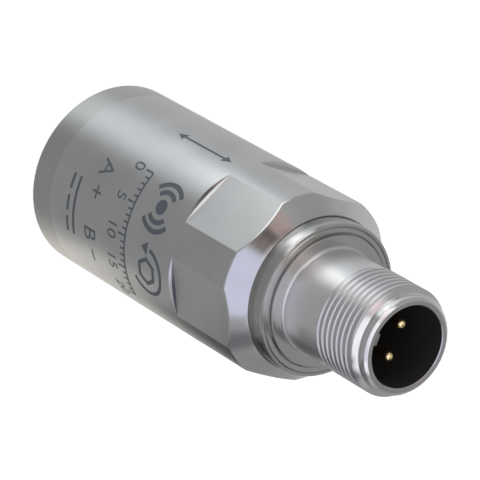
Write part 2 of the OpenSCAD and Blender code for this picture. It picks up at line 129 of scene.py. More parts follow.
# Base
BASE_BEVEL = 0.28
BASE_FOOT_ROUND = 0.1
BASE_EDGE_ROUND = 0.12
BASE_EDGE_RISE = 0.05
BASE_RINGS_Z = (1.5, 3, 4.2)
REGISTER_R = 12.15
REGISTER_Z = 8.6
PEDESTAL_R = 7.6
SCREW_HOLE_R = 1.5
SCREW_HOLE_DEPTH = 4.1
STUD_R = 2.75
STUD_DEPTH = 6.5
STUD_LEAD_IN = 0.6
STUD_PITCH = 25.4 / 28
STUD_THREAD_DEPTH = 0.4
STUD_RUN_IN = 0.3
STUD_RUN_OUT = 0.5

# Connector shell; a name that ends in RING is the distance from an edge to its next ring of points
FLANGE_SEAT_R = 9.8075
FLANGE_SEAT_Z = 52.5
FLANGE_TOP_Z = 54.5
FLANGE_ROUND = 0.07
FLANGE_RING = 0.2
FACE_RING = 0.7
NECK_R = 7.7675
NECK_FILLET = 0.35
FILLET_RING = 0.1
THREAD_R = 7.9375
THREAD_Z = 62.1
NECK_RINGS_Z = (56, 57.5, 59, 61, THREAD_Z)
THREAD_PITCH = 25.4 / 24
THREAD_DEPTH = 0.32
THREAD_CREST_RUN = 0.25
THREAD_RUN_IN = 0.2
THREAD_RUN_OUT = 0.3
NOSE_Z = 70.05
NOSE_SLOPE = 0.55
NOSE_R = 7.1175
NOSE_EDGE_W = 0.05
NOSE_EDGE_H = 0.02
NOSE_FOOT_W = 0.06
NOSE_FOOT_LOW = 0.05
NOSE_FOOT_HIGH = 0.03
LIP_ROUND = 0.16
LIP_H = 0.35
LIP_TILT = 52
LIP_RING = 0.3
LIP_BEVEL = 0.12
SOCKET_R = 5.95
SOCKET_RING = 1.2
TAIL_HOLE_GAP = 0.15

# Key, insert and contacts
KEY_W = 1.8
KEY_H = 0.95
KEY_SINK = 0.05
KEY_FRONT_Z = 71.6
KEY_ROUND = 0.14
KEY_SHARP_ANGLE = 40
INSERT_GAP = 0.05
INSERT_RIM_W = 0.55
INSERT_RIM_H = 0.2
INSERT_FACE_SINK = 0.1
BOSS_W = 0.5
BOSS_TOP_W = 0.4
BOSS_H = 0.15
PIN_R = 0.79
TIP_RING = 3 * PIN_R
SHANK_R = 0.99
STOP_R = 1.34
STOP_T = 0.8
CUP_R = 0.71
CUP_HOLE_R = 0.41
CUP_DEPTH = 2.0

# One turn of a thread, as pairs of the share of its pitch and its depth from crest to root
THREAD_FORM = [(0.0, 0.0), (0.4, 0.0), (0.6, 0.94), (0.65, 1.0), (0.7, 0.94), (0.9, 0.0)]

# Grid of the turned surfaces
FLAT_COLUMNS = 24
LAND_COLUMNS = 16
FLAT_RINGS = 9
SLOPE_RINGS = 5
TURNED_COLUMNS = 256
INSERT_COLUMNS = 96
BOSS_COLUMNS = 48
PIN_COLUMNS = 64
ROUND_STEPS = 8
EDGE_STEPS = 4
BEVEL_STEPS = 3
TIP_STEPS = 12
SHARP_ANGLE = 14
MERGE = 0.0004

# Camera, matched to the photograph
CAMERA_AZIMUTH = -102.85
CAMERA_ELEVATION = 48.2
CAMERA_ROLL = 120.1
CAMERA_AIM = Vector((-1.9, -3.0, 35.9))
CAMERA_DISTANCE = 476.2
CAMERA_LENS = 253.0
CAMERA_SENSOR = 36.0
CAMERA_CLIP_M = (0.01, 20.0)


# Points and rows of points

def arc(centre_r, centre_z, radius, start, end, steps=ROUND_STEPS):
    """Profile points on an arc about a centre, from one angle to another."""
    points = []
    for step in range(steps + 1):
        angle = math.radians(start + (end - start) * step / steps)
        points.append((centre_r + radius * math.cos(angle), centre_z + radius * math.sin(angle)))
    return points


def line(start, end, count):
    """Evenly spaced profile points from one point to another."""
    points = []
    for i in range(count):
        share = i / (count - 1)
        points.append(tuple(a + (b - a) * share for a, b in zip(start, end)))
    return points


def even_angles(count=TURNED_COLUMNS):
    """Angles of evenly spaced columns, in radians."""
    return [2 * math.pi * i / count for i in range(count)]


def polar(r, z, angle):
    """Point at a radius, a height and an angle in radians."""
    return Vector((r * math.cos(angle), r * math.sin(angle), z))


def turned_rows(profile, angles, axis_x=0.0):
    """Rings of points that a profile sweeps round an upright axis."""
    offset = Vector((axis_x, 0, 0))
    return [[polar(r, z, angle) + offset for angle in angles] for r, z in profile]


def smooth_step(low, high, value):
    """Rises smoothly from 0 at the low value to 1 at the high one."""
    share = min(max((value - low) / (high - low), 0.0), 1.0)
    return share * share * (3 - 2 * share)


# Meshes

def skin(bm, rows, finish=0):
    """Faces between neighbouring rings, with one finish number or one for each column."""
    rings = [[bm.verts.new(point * MM) for point in row] for row in rows]
    columns = len(rows[0])
    finishes = finish if isinstance(finish, list) else [finish] * columns
    for lower, upper in zip(rings, rings[1:]):
        for i in range(columns):
            j = (i + 1) % columns
            face = bm.faces.new((lower[i], lower[j], upper[j], upper[i]))
            face.material_index = finishes[i]


def helix(bm, pitch, start_z, end_z, radius_at, finish):
    """A threaded surface on a grid that climbs one pitch for each turn.

    radius_at gives the radius from the depth in the thread's form and the height. Points past
    either end are gathered on the end's circle.
    """
    turns = math.ceil((end_z - start_z) / pitch) + 2
    count = len(THREAD_FORM) * turns

    def point(row, column):
        turn, place = divmod(row, len(THREAD_FORM))
        share, depth = THREAD_FORM[place]
        climb = turn - 1 + share + column / TURNED_COLUMNS
        z = min(max(start_z + pitch * climb, start_z), end_z)
        return polar(radius_at(depth, z), z, 2 * math.pi * column / TURNED_COLUMNS)

    grid = []
    for column in range(TURNED_COLUMNS):
        grid.append([bm.verts.new(point(row, column) * MM) for row in range(count)])
    for column in range(TURNED_COLUMNS):
        across = (column + 1) % TURNED_COLUMNS
        lift = len(THREAD_FORM) if across == 0 else 0
        for row in range(count - 1 - lift):
            face = bm.faces.new((grid[column][row], grid[across][row + lift],
                                 grid[across][row + 1 + lift], grid[column][row + 1]))
            face.material_index = finish


def clean(bm):
    """Joins points that meet, drops empty faces and turns the faces outwards."""
    bmesh.ops.remove_doubles(bm, verts=bm.verts, dist=MERGE * MM)
    bmesh.ops.dissolve_degenerate(bm, edges=bm.edges, dist=MERGE * MM)
    bmesh.ops.recalc_face_normals(bm, faces=bm.faces)


def bevel(bm, edges, width, segments, finish=0):
    """Breaks edges; the new faces get the finish number."""
    bmesh.ops.bevel(bm, geom=edges, offset=width * MM, offset_type="OFFSET", segments=segments,
                    profile=0.5, affect="EDGES", clamp_overlap=True, material=finish)


def to_mesh(bm, name):
    """Writes a bmesh to a new mesh and frees it."""
    mesh = bpy.data.meshes.new(name)
    bm.to_mesh(mesh)
    bm.free()
    return mesh


def add_object(name, data):
    """Puts a mesh or a camera into the scene."""
    thing = bpy.data.objects.new(name, data)
    bpy.context.scene.collection.objects.link(thing)
    return thing


def add_piece(name, bm, finishes, slot, *replaced, sharp=SHARP_ANGLE):
    """Turns a bmesh into a piece of the object that stands for the named solids."""
    clean(bm)
    mesh = to_mesh(bm, name)
    mesh.polygons.foreach_set("use_smooth", [True] * len(mesh.polygons))
    mesh.set_sharp_from_angle(angle=math.radians(sharp))
    for finish in finishes:
        mesh.materials.append(finish)
    piece = add_object(name, mesh)
    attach(piece, "root")
    if replaced:
        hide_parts(*replaced)


# Case

BODY, FLAT, STEP, SLOPE, COLLAR, COLLAR_TOP = range(6)


def case_columns():
    """Angles round the case, each with its offset from the nearest flat's middle and its finish.

    A land's columns have the offset of the flat's edge, where the flat's depth is nought.
    """
    half = math.acos(FLAT_R / CASE_R)
    sector = 2 * math.pi / FLAT_COUNT
    columns = []
    for flat in range(FLAT_COUNT):
        middle = flat * sector
        for i in range(FLAT_COLUMNS):
            offset = half * (2 * i / FLAT_COLUMNS - 1)
            columns.append((middle + offset, offset, FLAT))
        for i in range(LAND_COLUMNS):
            land = (sector - 2 * half) * i / LAND_COLUMNS
            columns.append((middle + half + land, half, BODY))
    return columns


def ledge_start():
    """Radius and height where the slope ends in the small ledge round the collar."""
    rise = (SHOULDER_Z - SLOPE_START_Z) / (CASE_R - COLLAR_R)
    return COLLAR_R + LEDGE_W, SHOULDER_Z - LEDGE_W * rise


def case_skin_rows(columns):
    """Rings of the case where its flats cut it, in order: body edge and step, flats, slope."""
    drop = (CASE_R - COLLAR_R) / (SHOULDER_Z - SLOPE_START_Z)
    ledge = ledge_start()
    sections = ([], [], [])
    for angle, offset, _ in columns:
        flat_r = FLAT_R / math.cos(offset)
        depth = max(CASE_R - flat_r, 0.0)
        edge_w = STEP_EDGE_SHARE * depth
        edge_h = edge_w / math.tan(math.radians(STEP_EDGE_TILT))
        floor_h = (depth - edge_w) / math.tan(math.radians(STEP_FLOOR_TILT))
        start = (flat_r, FLAT_START_Z + floor_h)
        top = (flat_r, SLOPE_START_Z + depth / drop)
        step = [(CASE_R, FLAT_START_Z - edge_h), (CASE_R - edge_w, FLAT_START_Z), start]
        profiles = (step, line(start, top, FLAT_RINGS), line(top, ledge, SLOPE_RINGS))
        for section, profile in zip(sections, profiles):
            section.append([polar(r, z, angle) for r, z in profile])
    return [list(zip(*section)) for section in sections]


def break_case_edges(bm):
    """Small bevels where the flats and the lands meet the slope."""
    edges = []
    for edge in bm.edges:
        finishes = {face.material_index for face in edge.link_faces}
        if SLOPE in finishes and finishes & {FLAT, BODY}:
            edges.append(edge)
    bevel(bm, edges, EDGE_BREAK, segments=1, finish=SLOPE)


def collar_profile():
    """Points of the ledge and the collar's wall, and points of its top with a V groove."""
    ledge_r, ledge_z = ledge_start()
    lean = math.atan2(CASE_R - COLLAR_R, SHOULDER_Z - SLOPE_START_Z)
    round_r = ledge_r - LEDGE_ROUND * math.cos(lean)
    round_z = ledge_z - LEDGE_ROUND * math.sin(lean)
    wall = arc(round_r, round_z, LEDGE_ROUND, math.degrees(lean), LEDGE_END_ANGLE)
    wall += [(COLLAR_R - COLLAR_FOOT, ledge_z - COLLAR_FOOT), (COLLAR_R, ledge_z + COLLAR_FOOT_H)]
    wall += [(COLLAR_R, COLLAR_Z - COLLAR_EDGE_H)]
    edge_r = COLLAR_R - COLLAR_EDGE_W - COLLAR_ROUND
    edge_tilt = math.degrees(math.atan2(COLLAR_EDGE_W, COLLAR_EDGE_H))
    wall += arc(edge_r, COLLAR_Z - COLLAR_ROUND, COLLAR_ROUND, edge_tilt, 90, EDGE_STEPS)
    top = [wall[-1], (GROOVE_R + GROOVE_OUTER_W, COLLAR_Z)]
    top += [(GROOVE_R, COLLAR_Z - GROOVE_DEPTH), (GROOVE_R - GROOVE_INNER_W, COLLAR_Z)]
    valley_r = FLANGE_SEAT_R + VALLEY_ROUND
    top += arc(valley_r, COLLAR_Z - VALLEY_ROUND, VALLEY_ROUND, 90, VALLEY_END_ANGLE)
    weld_r = FLANGE_R + WELD_GAP
    weld_z = COLLAR_Z - WELD_SINK
    top += [(weld_r, weld_z), (weld_r, weld_z - WELD_WALL), (FLANGE_SEAT_R, weld_z - WELD_FLOOR)]
    return wall, top


def make_case(finishes):
    """The case: body, six flats with their steps, slope, collar with its weld, and bore."""
    bm = bmesh.new()
    columns = case_columns()
    angles = [angle for angle, _, _ in columns]
    flat_finishes = [finish for _, _, finish in columns]
    step_finishes = [STEP if finish == FLAT else finish for finish in flat_finishes]
    step_rows, flat_rows, slope_rows = case_skin_rows(columns)
    body = [(BORE_R, SEAM_Z), (BODY_R - SEAM_ROUND, SEAM_Z)]
    body += arc(BODY_R - SEAM_ROUND, SEAM_Z + SEAM_ROUND, SEAM_ROUND, -SEAM_ARC, 0, EDGE_STEPS)
    body += [(BODY_R, z) for z in BODY_RINGS_Z]
    body += [(CASE_R, BODY_END_Z + SKIN_RUN)]
    skin(bm, turned_rows(body, angles) + step_rows[:1], BODY)
    skin(bm, step_rows + flat_rows[:1], step_finishes)
    skin(bm, flat_rows, flat_finishes)
    skin(bm, slope_rows, SLOPE)
    clean(bm)
    break_case_edges(bm)
    wall, top = collar_profile()
    skin(bm, turned_rows(wall, angles), COLLAR)
    skin(bm, turned_rows(top, angles), COLLAR_TOP)
    tail_r = NECK_R + TAIL_HOLE_GAP
    inner = [top[-1], (FLANGE_SEAT_R, FLANGE_SEAT_Z), (tail_r, FLANGE_SEAT_Z), (tail_r, ROOF_Z)]
    inner += [(BORE_R, ROOF_Z), (BORE_R, SEAM_Z)]
    skin(bm, turned_rows(inner, angles), COLLAR)
    add_piece("sensor_case", bm, finishes, "case_steel", "case", sharp=CASE_SHARP_ANGLE)


# Base

OUTSIDE, STUD_HOLE = range(2)


def make_base(finishes):
    """The base with its lower bevel, seam edge, register, pedestal and tapped mounting hole."""
    bm = bmesh.new()
    angles = even_angles()
    foot_r = BODY_R - BASE_BEVEL - BASE_FOOT_ROUND
    mouth = (STUD_R + STUD_LEAD_IN, 0)
    outer = [mouth, (foot_r, 0)]
    outer += arc(foot_r, BASE_FOOT_ROUND, BASE_FOOT_ROUND, 270, 315, BEVEL_STEPS)
    edge_r = BODY_R - BASE_EDGE_ROUND
    outer += arc(edge_r, BASE_BEVEL + BASE_EDGE_RISE, BASE_EDGE_ROUND, -45, 0, BEVEL_STEPS)
    outer += [(BODY_R, z) for z in BASE_RINGS_Z]
    outer += arc(BODY_R - SEAM_ROUND, SEAM_Z - SEAM_ROUND, SEAM_ROUND, 0, SEAM_ARC, EDGE_STEPS)
    outer += [(BODY_R - SEAM_ROUND, SEAM_Z), (REGISTER_R, SEAM_Z), (REGISTER_R, REGISTER_Z)]
    outer += [(PEDESTAL_R, REGISTER_Z), (PEDESTAL_R, PEDESTAL_Z), (SCREW_HOLE_R, PEDESTAL_Z)]
    screw_z = PEDESTAL_Z - SCREW_HOLE_DEPTH
    outer += [(SCREW_HOLE_R, screw_z), (0, screw_z)]
    skin(bm, turned_rows(outer, angles), OUTSIDE)
    hole_top = STUD_DEPTH - STUD_LEAD_IN
    skin(bm, turned_rows([mouth, (STUD_R, STUD_LEAD_IN)], angles), STUD_HOLE)

    def stud_radius(depth, z):
        run = smooth_step(STUD_LEAD_IN, STUD_LEAD_IN + STUD_RUN_IN, z)
        run *= 1 - smooth_step(hole_top - STUD_RUN_OUT, hole_top, z)
        return STUD_R + STUD_THREAD_DEPTH * run * (1 - depth)

    helix(bm, STUD_PITCH, STUD_LEAD_IN, hole_top, stud_radius, STUD_HOLE)
    end = [(STUD_R, hole_top), (STUD_R, STUD_DEPTH), (0, STUD_DEPTH)]
    skin(bm, turned_rows(end, angles), STUD_HOLE)
    add_piece("sensor_base", bm, finishes, "base_steel", "base")


# Connector

FLANGE, END_FACE, NECK, THREAD, NOSE, FRONT, SOCKET = range(7)


def nose_profile():
    """Points from the thread's end over the nose's slope to the bevelled lip."""
    foot_z = NOSE_Z + NOSE_SLOPE
    points = [(THREAD_R, NOSE_Z), (THREAD_R - NOSE_EDGE_W, NOSE_Z + NOSE_EDGE_H)]
    points += [(NOSE_R + NOSE_FOOT_W, foot_z - NOSE_FOOT_LOW), (NOSE_R, foot_z + NOSE_FOOT_HIGH)]
    points += [(NOSE_R, FRONT_Z - LIP_H - LIP_RING)]
    low_reach = LIP_ROUND * math.tan(math.radians(LIP_TILT / 2))
    high_reach = LIP_ROUND * math.tan(math.radians(45 - LIP_TILT / 2))
    lip_w = LIP_H * math.tan(math.radians(LIP_TILT))
    points += arc(NOSE_R - LIP_ROUND, FRONT_Z - LIP_H - low_reach, LIP_ROUND, 0, LIP_TILT)
    points += arc(NOSE_R - lip_w - high_reach, FRONT_Z - LIP_ROUND, LIP_ROUND, LIP_TILT, 90)
    return points


def make_shell(finishes):
    """The connector shell: flange, neck, coupling thread, nose, lip and socket."""
    bm = bmesh.new()
    angles = even_angles()
    bore_r = INSERT_R + INSERT_GAP
    foot = [(bore_r, TAIL_Z), (NECK_R, TAIL_Z), (NECK_R, FLANGE_SEAT_Z), (FLANGE_R, FLANGE_SEAT_Z)]
    edge_z = FLANGE_TOP_Z - FLANGE_ROUND
    foot += [(FLANGE_R, edge_z - FLANGE_RING)]
    foot += arc(FLANGE_R - FLANGE_ROUND, edge_z, FLANGE_ROUND, 0, 90)
    skin(bm, turned_rows(foot, angles), FLANGE)
    fillet_r = NECK_R + NECK_FILLET
    face = [foot[-1], (FLANGE_R - FACE_RING, FLANGE_TOP_Z), (fillet_r + FILLET_RING, FLANGE_TOP_Z)]
    skin(bm, turned_rows(face, angles), END_FACE)
    neck = [face[-1]] + arc(fillet_r, FLANGE_TOP_Z + NECK_FILLET, NECK_FILLET, 270, 180)
    neck += [(NECK_R, z) for z in NECK_RINGS_Z]
    skin(bm, turned_rows(neck, angles), NECK)

    def coupling_radius(depth, z):
        crest = NECK_R + (THREAD_R - NECK_R) * smooth_step(THREAD_Z, THREAD_Z + THREAD_CREST_RUN, z)
        run = smooth_step(THREAD_Z, THREAD_Z + THREAD_RUN_IN, z)
        run *= 1 - smooth_step(NOSE_Z - THREAD_RUN_OUT, NOSE_Z, z)
        return crest - THREAD_DEPTH * run * depth

    helix(bm, THREAD_PITCH, THREAD_Z, NOSE_Z, coupling_radius, THREAD)
    nose = nose_profile()
    skin(bm, turned_rows(nose, angles), NOSE)
    lip = [nose[-1], (SOCKET_R + LIP_BEVEL, FRONT_Z), (SOCKET_R, FRONT_Z - LIP_BEVEL)]
    skin(bm, turned_rows(lip, angles), FRONT)
    socket = [lip[-1], (SOCKET_R, FRONT_Z - SOCKET_RING), (SOCKET_R, INSERT_Z)]
    socket += [(bore_r, INSERT_Z), (bore_r, TAIL_Z)]
    skin(bm, turned_rows(socket, angles), SOCKET)
    add_piece("connector_shell_turned", bm, finishes, "connector_steel", "connector_shell")


def make_key(finishes):
    """The polarising key that stands on the socket's wall."""
    bm = bmesh.new()
    bmesh.ops.create_cube(bm, size=1.0)
    length = KEY_FRONT_Z - INSERT_Z
    height = KEY_H + KEY_SINK
    size = Vector((KEY_W, height, length)) * MM
    middle = Vector((0, -SOCKET_R - KEY_SINK + height / 2, INSERT_Z + length / 2)) * MM
    bmesh.ops.transform(bm, matrix=Matrix.LocRotScale(middle, None, size), verts=bm.verts)
    inner = [e for e in bm.edges if all(v.co.y > middle.y or v.co.z > middle.z for v in e.verts)]
    bevel(bm, inner, KEY_ROUND, segments=BEVEL_STEPS)
    add_piece("polarising_key", bm, finishes, "connector_steel", sharp=KEY_SHARP_ANGLE)


def make_insert(finishes):
    """The insulating insert with a raised boss round each contact."""
    bm = bmesh.new()
    rim_r = INSERT_R - INSERT_RIM_W
    rim_z = INSERT_Z - INSERT_RIM_H
    face_z = INSERT_Z - INSERT_FACE_SINK
    profile = [(0, INSERT_REAR_Z), (INSERT_R, INSERT_REAR_Z), (INSERT_R, rim_z), (rim_r, rim_z)]
    profile += [(rim_r - INSERT_FACE_SINK, face_z), (0, face_z)]
    skin(bm, turned_rows(profile, even_angles(INSERT_COLUMNS)))
    foot_z = INSERT_Z - BOSS_H
    boss = [(SHANK_R, foot_z), (SHANK_R + BOSS_W, foot_z), (SHANK_R + BOSS_TOP_W, INSERT_Z)]
    boss += [(SHANK_R, INSERT_Z), (SHANK_R, foot_z)]
    for side in (-1, 1):
        skin(bm, turned_rows(boss, even_angles(BOSS_COLUMNS), side * PIN_X))
    add_piece("insert_face", bm, finishes, "insert_black", "connector_insert")


def make_pin(side, label, finishes):
    """One contact: solder cup, stop collar, shank and domed tip."""
    bm = bmesh.new()
    cup_floor = CUP_Z + CUP_DEPTH
    cup_top = INSERT_REAR_Z - STOP_T
    profile = [(0, cup_floor), (CUP_HOLE_R, cup_floor), (CUP_HOLE_R, CUP_Z), (CUP_R, CUP_Z)]
    profile += [(CUP_R, cup_top), (STOP_R, cup_top), (STOP_R, INSERT_REAR_Z)]
    profile += [(SHANK_R, INSERT_REAR_Z), (SHANK_R, INSERT_Z)]
    profile += [(PIN_R, INSERT_Z), (PIN_R, PIN_TIP_Z - TIP_RING)]
    profile += arc(0, PIN_TIP_Z - PIN_R, PIN_R, 0, 90, TIP_STEPS)
    skin(bm, turned_rows(profile, even_angles(PIN_COLUMNS), side * PIN_X))
    add_piece("gilt_contact_" + label, bm, finishes, "contact_gold", "contact_pin_" + label)


# Markings, drawn flat with x round the body and y along its axis, then wrapped onto the body

MARK_AZIMUTH = -75.4
ARROW_AZIMUTH = -148.0
MARK_STRIP = 0.5
MARK_REACH = 14
MARK_SHARP_ANGLE = 30
INK_ROOT = 0.05
INK_CLEARANCE = 0.004
INK_LOW = BODY_R - INK_ROOT
INK_HIGH = CASE_R - INK_CLEARANCE
BOW_STEPS = 24
DOT_CORNERS = 24

# Signs for vibration and tightening
SIGN_Y = 30.2
VIBRATION_X = -6.4
VIBRATION_DOT_R = 1.15
VIBRATION_BOWS_R = (2.3, 3.6)
VIBRATION_BOW_ARC = 50
VIBRATION_STROKE = 0.75
NUT_X = 3.4
NUT_R = 1.9
NUT_CORNERS = 6
NUT_STROKE = 0.7
TURN_R = 3.5
TURN_ARC = (-60, 170)
TURN_STROKE = 0.6
TURN_HEAD_HALF = 1.0
TURN_HEAD_LENGTH = 1.5

# Numbered scale
SCALE_Y = 24.6
SCALE_W = 20
SCALE_STROKE = 0.35
SCALE_LABEL_STEP = 5
TICK_GAP = 0.2
TICK_STROKE = 0.3
TICK_H = 0.8
TALL_TICK_H = 1.6
NUMBER_DROP = 4.4
NUMBER_SIZE = 3.0

# Signs for the contacts and for direct current
CONTACT_SIGNS = (("A +", -5.6), ("B −", 4.6))
CONTACT_Y = 14.2
CONTACT_SIZE = 4.2
CURRENT_STROKE = 0.55
CURRENT_BAR_Y = 11.2
CURRENT_BAR_W = 9.0
CURRENT_DASH_Y = 9.6
CURRENT_DASH_W = 2.4
CURRENT_DASHES_X = (-3.3, 0, 3.3)

# Arrow along the measuring axis
ARROW_LOW_Y = 20.5
ARROW_HIGH_Y = 33.5
ARROW_STROKE = 0.4
ARROW_HEAD_LENGTH = 1.7
ARROW_HEAD_HALF = 0.75


def ribbon(bm, points, width, closed=False):
    """A flat stroke of even width along a line of points."""
    count = len(points)
    sides = []
    for i, point in enumerate(points):
        before = points[i - 1] if closed or i > 0 else point
        after = points[(i + 1) % count] if closed or i < count - 1 else point
        along = (after - before).normalized()
        across = Vector((-along.y, along.x)) * width / 2
        left = bm.verts.new((point + across).to_3d())
        right = bm.verts.new((point - across).to_3d())
        sides.append((left, right))
    for i in range(count if closed else count - 1):
        (left, right), (next_left, next_right) = sides[i], sides[(i + 1) % count]
        bm.faces.new((left, right, next_right, next_left))


def bow(x, y, radius, start, end, steps=BOW_STEPS):
    """Flat points on an arc about a centre."""
    return [Vector(point) for point in arc(x, y, radius, start, end, steps)]


def polygon(x, y, radius, count):
    """Flat points of a regular polygon."""
    return bow(x, y, radius, 0, 360 - 360 / count, count - 1)


def dot(bm, x, y, radius):
    """A flat round spot."""
    points = polygon(x, y, radius, DOT_CORNERS)
    bm.faces.new([bm.verts.new(point.to_3d()) for point in points])


def bar(bm, x, y, width, height):
    """A flat bar about its middle."""
    ribbon(bm, [Vector((x, y - height / 2)), Vector((x, y + height / 2))], width)


def arrow_head(bm, x, y, half, length):
    """A flat arrow head that points down from its base; a length below nought points up."""
    points = ((x - half, y, 0), (x, y - length, 0), (x + half, y, 0))
    bm.faces.new([bm.verts.new(point) for point in points])


def lettering(bm, text, x, y, size):
    """Plain letters, figures and signs, centred on a point of their baseline."""
    curve = bpy.data.curves.new("lettering", "FONT")
    curve.body = text
    curve.size = size
    curve.align_x = "CENTER"
    holder = bpy.data.objects.new("lettering", curve)
    mesh = bpy.data.meshes.new_from_object(holder)
    mesh.transform(Matrix.Translation((x, y, 0)))
    bm.from_mesh(mesh)
    bpy.data.objects.remove(holder)
    bpy.data.curves.remove(curve)
    bpy.data.meshes.remove(mesh)


def wrap_marks(bm, azimuth):
    """Bends flat marks round the body and gives them a little depth."""
    bmesh.ops.remove_doubles(bm, verts=bm.verts, dist=MERGE)
    x = -MARK_REACH
    while x < MARK_REACH:
        everything = bm.verts[:] + bm.edges[:] + bm.faces[:]
        bmesh.ops.bisect_plane(bm, geom=everything, plane_co=(x, 0, 0), plane_no=(1, 0, 0),
                               dist=MERGE)
        x += MARK_STRIP
    raised = bmesh.ops.extrude_face_region(bm, geom=bm.faces[:])
    for item in raised["geom"]:
        if isinstance(item, bmesh.types.BMVert):
            item.co.z = 1
    for vert in bm.verts:
        angle = math.radians(azimuth) + vert.co.x / BODY_R
        vert.co = polar(INK_LOW + (INK_HIGH - INK_LOW) * vert.co.z, vert.co.y, angle) * MM


def draw_signs(bm):
    """A dot between bows for vibration, and a nut with a turning arrow for tightening."""
    dot(bm, VIBRATION_X, SIGN_Y, VIBRATION_DOT_R)
    for radius in VIBRATION_BOWS_R:
        for facing in (0, 180):
            start, end = facing - VIBRATION_BOW_ARC, facing + VIBRATION_BOW_ARC
            ribbon(bm, bow(VIBRATION_X, SIGN_Y, radius, start, end), VIBRATION_STROKE)
    ribbon(bm, polygon(NUT_X, SIGN_Y, NUT_R, NUT_CORNERS), NUT_STROKE, closed=True)
    ribbon(bm, bow(NUT_X, SIGN_Y, TURN_R, *TURN_ARC), TURN_STROKE)
    arrow_head(bm, NUT_X - TURN_R, SIGN_Y, TURN_HEAD_HALF, TURN_HEAD_LENGTH)


def draw_scale(bm):
    """A plain scale with a number at every fifth mark."""
    half = SCALE_W / 2
    ribbon(bm, [Vector((-half, SCALE_Y)), Vector((half, SCALE_Y))], SCALE_STROKE)
    for mark in range(SCALE_W + 1):
        x = mark - half
        numbered = mark % SCALE_LABEL_STEP == 0
        height = TALL_TICK_H if numbered else TICK_H
        bar(bm, x, SCALE_Y - TICK_GAP - height / 2, TICK_STROKE, height)
        if numbered:
            lettering(bm, str(mark), x, SCALE_Y - NUMBER_DROP, NUMBER_SIZE)


def make_front_marks(finishes):
    """Generic markings: two signs, a numbered scale, contact signs and a current sign."""
    bm = bmesh.new()
    draw_signs(bm)
    draw_scale(bm)
    for text, x in CONTACT_SIGNS:
        lettering(bm, text, x, CONTACT_Y, CONTACT_SIZE)
    bar(bm, 0, CURRENT_BAR_Y, CURRENT_BAR_W, CURRENT_STROKE)
    for x in CURRENT_DASHES_X:
        bar(bm, x, CURRENT_DASH_Y, CURRENT_DASH_W, CURRENT_STROKE)
    wrap_marks(bm, MARK_AZIMUTH)
    add_piece("front_marks", bm, finishes, "case_steel", sharp=MARK_SHARP_ANGLE)


def make_axis_arrow(finishes):
    """A double arrow along the axis in which the sensor measures."""
    bm = bmesh.new()
    low = ARROW_LOW_Y + ARROW_HEAD_LENGTH
    high = ARROW_HIGH_Y - ARROW_HEAD_LENGTH
    arrow_head(bm, 0, low, ARROW_HEAD_HALF, ARROW_HEAD_LENGTH)
    arrow_head(bm, 0, high, ARROW_HEAD_HALF, -ARROW_HEAD_LENGTH)
    ribbon(bm, [Vector((0, low)), Vector((0, high))], ARROW_STROKE)
    wrap_marks(bm, ARROW_AZIMUTH)
    add_piece("axis_arrow", bm, finishes, "case_steel", sharp=MARK_SHARP_ANGLE)


# Nodes

def feed(tree, node, inputs):
    """Gives each named input an output to link or a plain value."""
    for key, value in inputs.items():
        if hasattr(value, "links"):
            tree.links.new(value, node.inputs[key])
        else:
            node.inputs[key].default_value = value


def add_node(tree, kind, inputs, **settings):
    """A new node with its settings and inputs."""
    node = tree.nodes.new(kind)
    for key, value in settings.items():
        setattr(node, key, value)
    feed(tree, node, inputs)
    return node


def math_node(tree, operation, *values):
    """Result of one calculation on outputs or plain numbers."""
    inputs = dict(enumerate(values))
    return add_node(tree, "ShaderNodeMath", inputs, operation=operation).outputs[0]


def smooth_map(tree, value, start, end, low=0.0, high=1.0):
    """Goes smoothly from the low number at the start to the high one at the end."""
    inputs = {"Value": value, "From Min": start, "From Max": end, "To Min": low, "To Max": high}
    node = add_node(tree, "ShaderNodeMapRange", inputs, interpolation_type="SMOOTHSTEP")
    return node.outputs["Result"]


# Materials

class Variation(NamedTuple):
    """Factors between which a finish's colour and roughness vary, and its bump."""

    colour: tuple
    roughness: tuple
    bump: float
    depth: float


TURNED = Variation(colour=(0.95, 1.05), roughness=(0.92, 1.08), bump=0.1, depth=0.002)
MILLED = Variation(colour=(0.97, 1.03), roughness=(0.95, 1.05), bump=0.06, depth=0.002)
MOULDED = Variation(colour=(0.9, 1.08), roughness=(0.9, 1.1), bump=0.3, depth=0.004)
PLATED = MOULDED._replace(depth=0.001)

# Parts of a noise's range over which colour and roughness change
COLOUR_SPAN = (0.3, 0.7)
ROUGHNESS_SPAN = (0.25, 0.75)

# Scales of the noises, in repeats to a metre, and their detail
TURNED_CLOUD = 160.0
MILLED_CLOUD = 200.0
MILLED_GRAIN = 2600.0
PAPER_FIBRES = 900.0
FINE_DETAIL = 3.0
SOFT_DETAIL = 2.0

# Lengths in the textures: size of the moulded grain, and pitch and drift of the turning marks
MOULDED_GRAIN = 0.3
WALL_MARKS = 0.2
FACE_MARKS = 0.12
MARK_DRIFT = 6

# Turn of the anisotropy against the tangent round the axis, as a share of a full turn
ANISOTROPY_TURN = 0.25


def shade(colour, factor):
    """A lighter or darker colour."""
    return tuple(channel * factor for channel in colour)


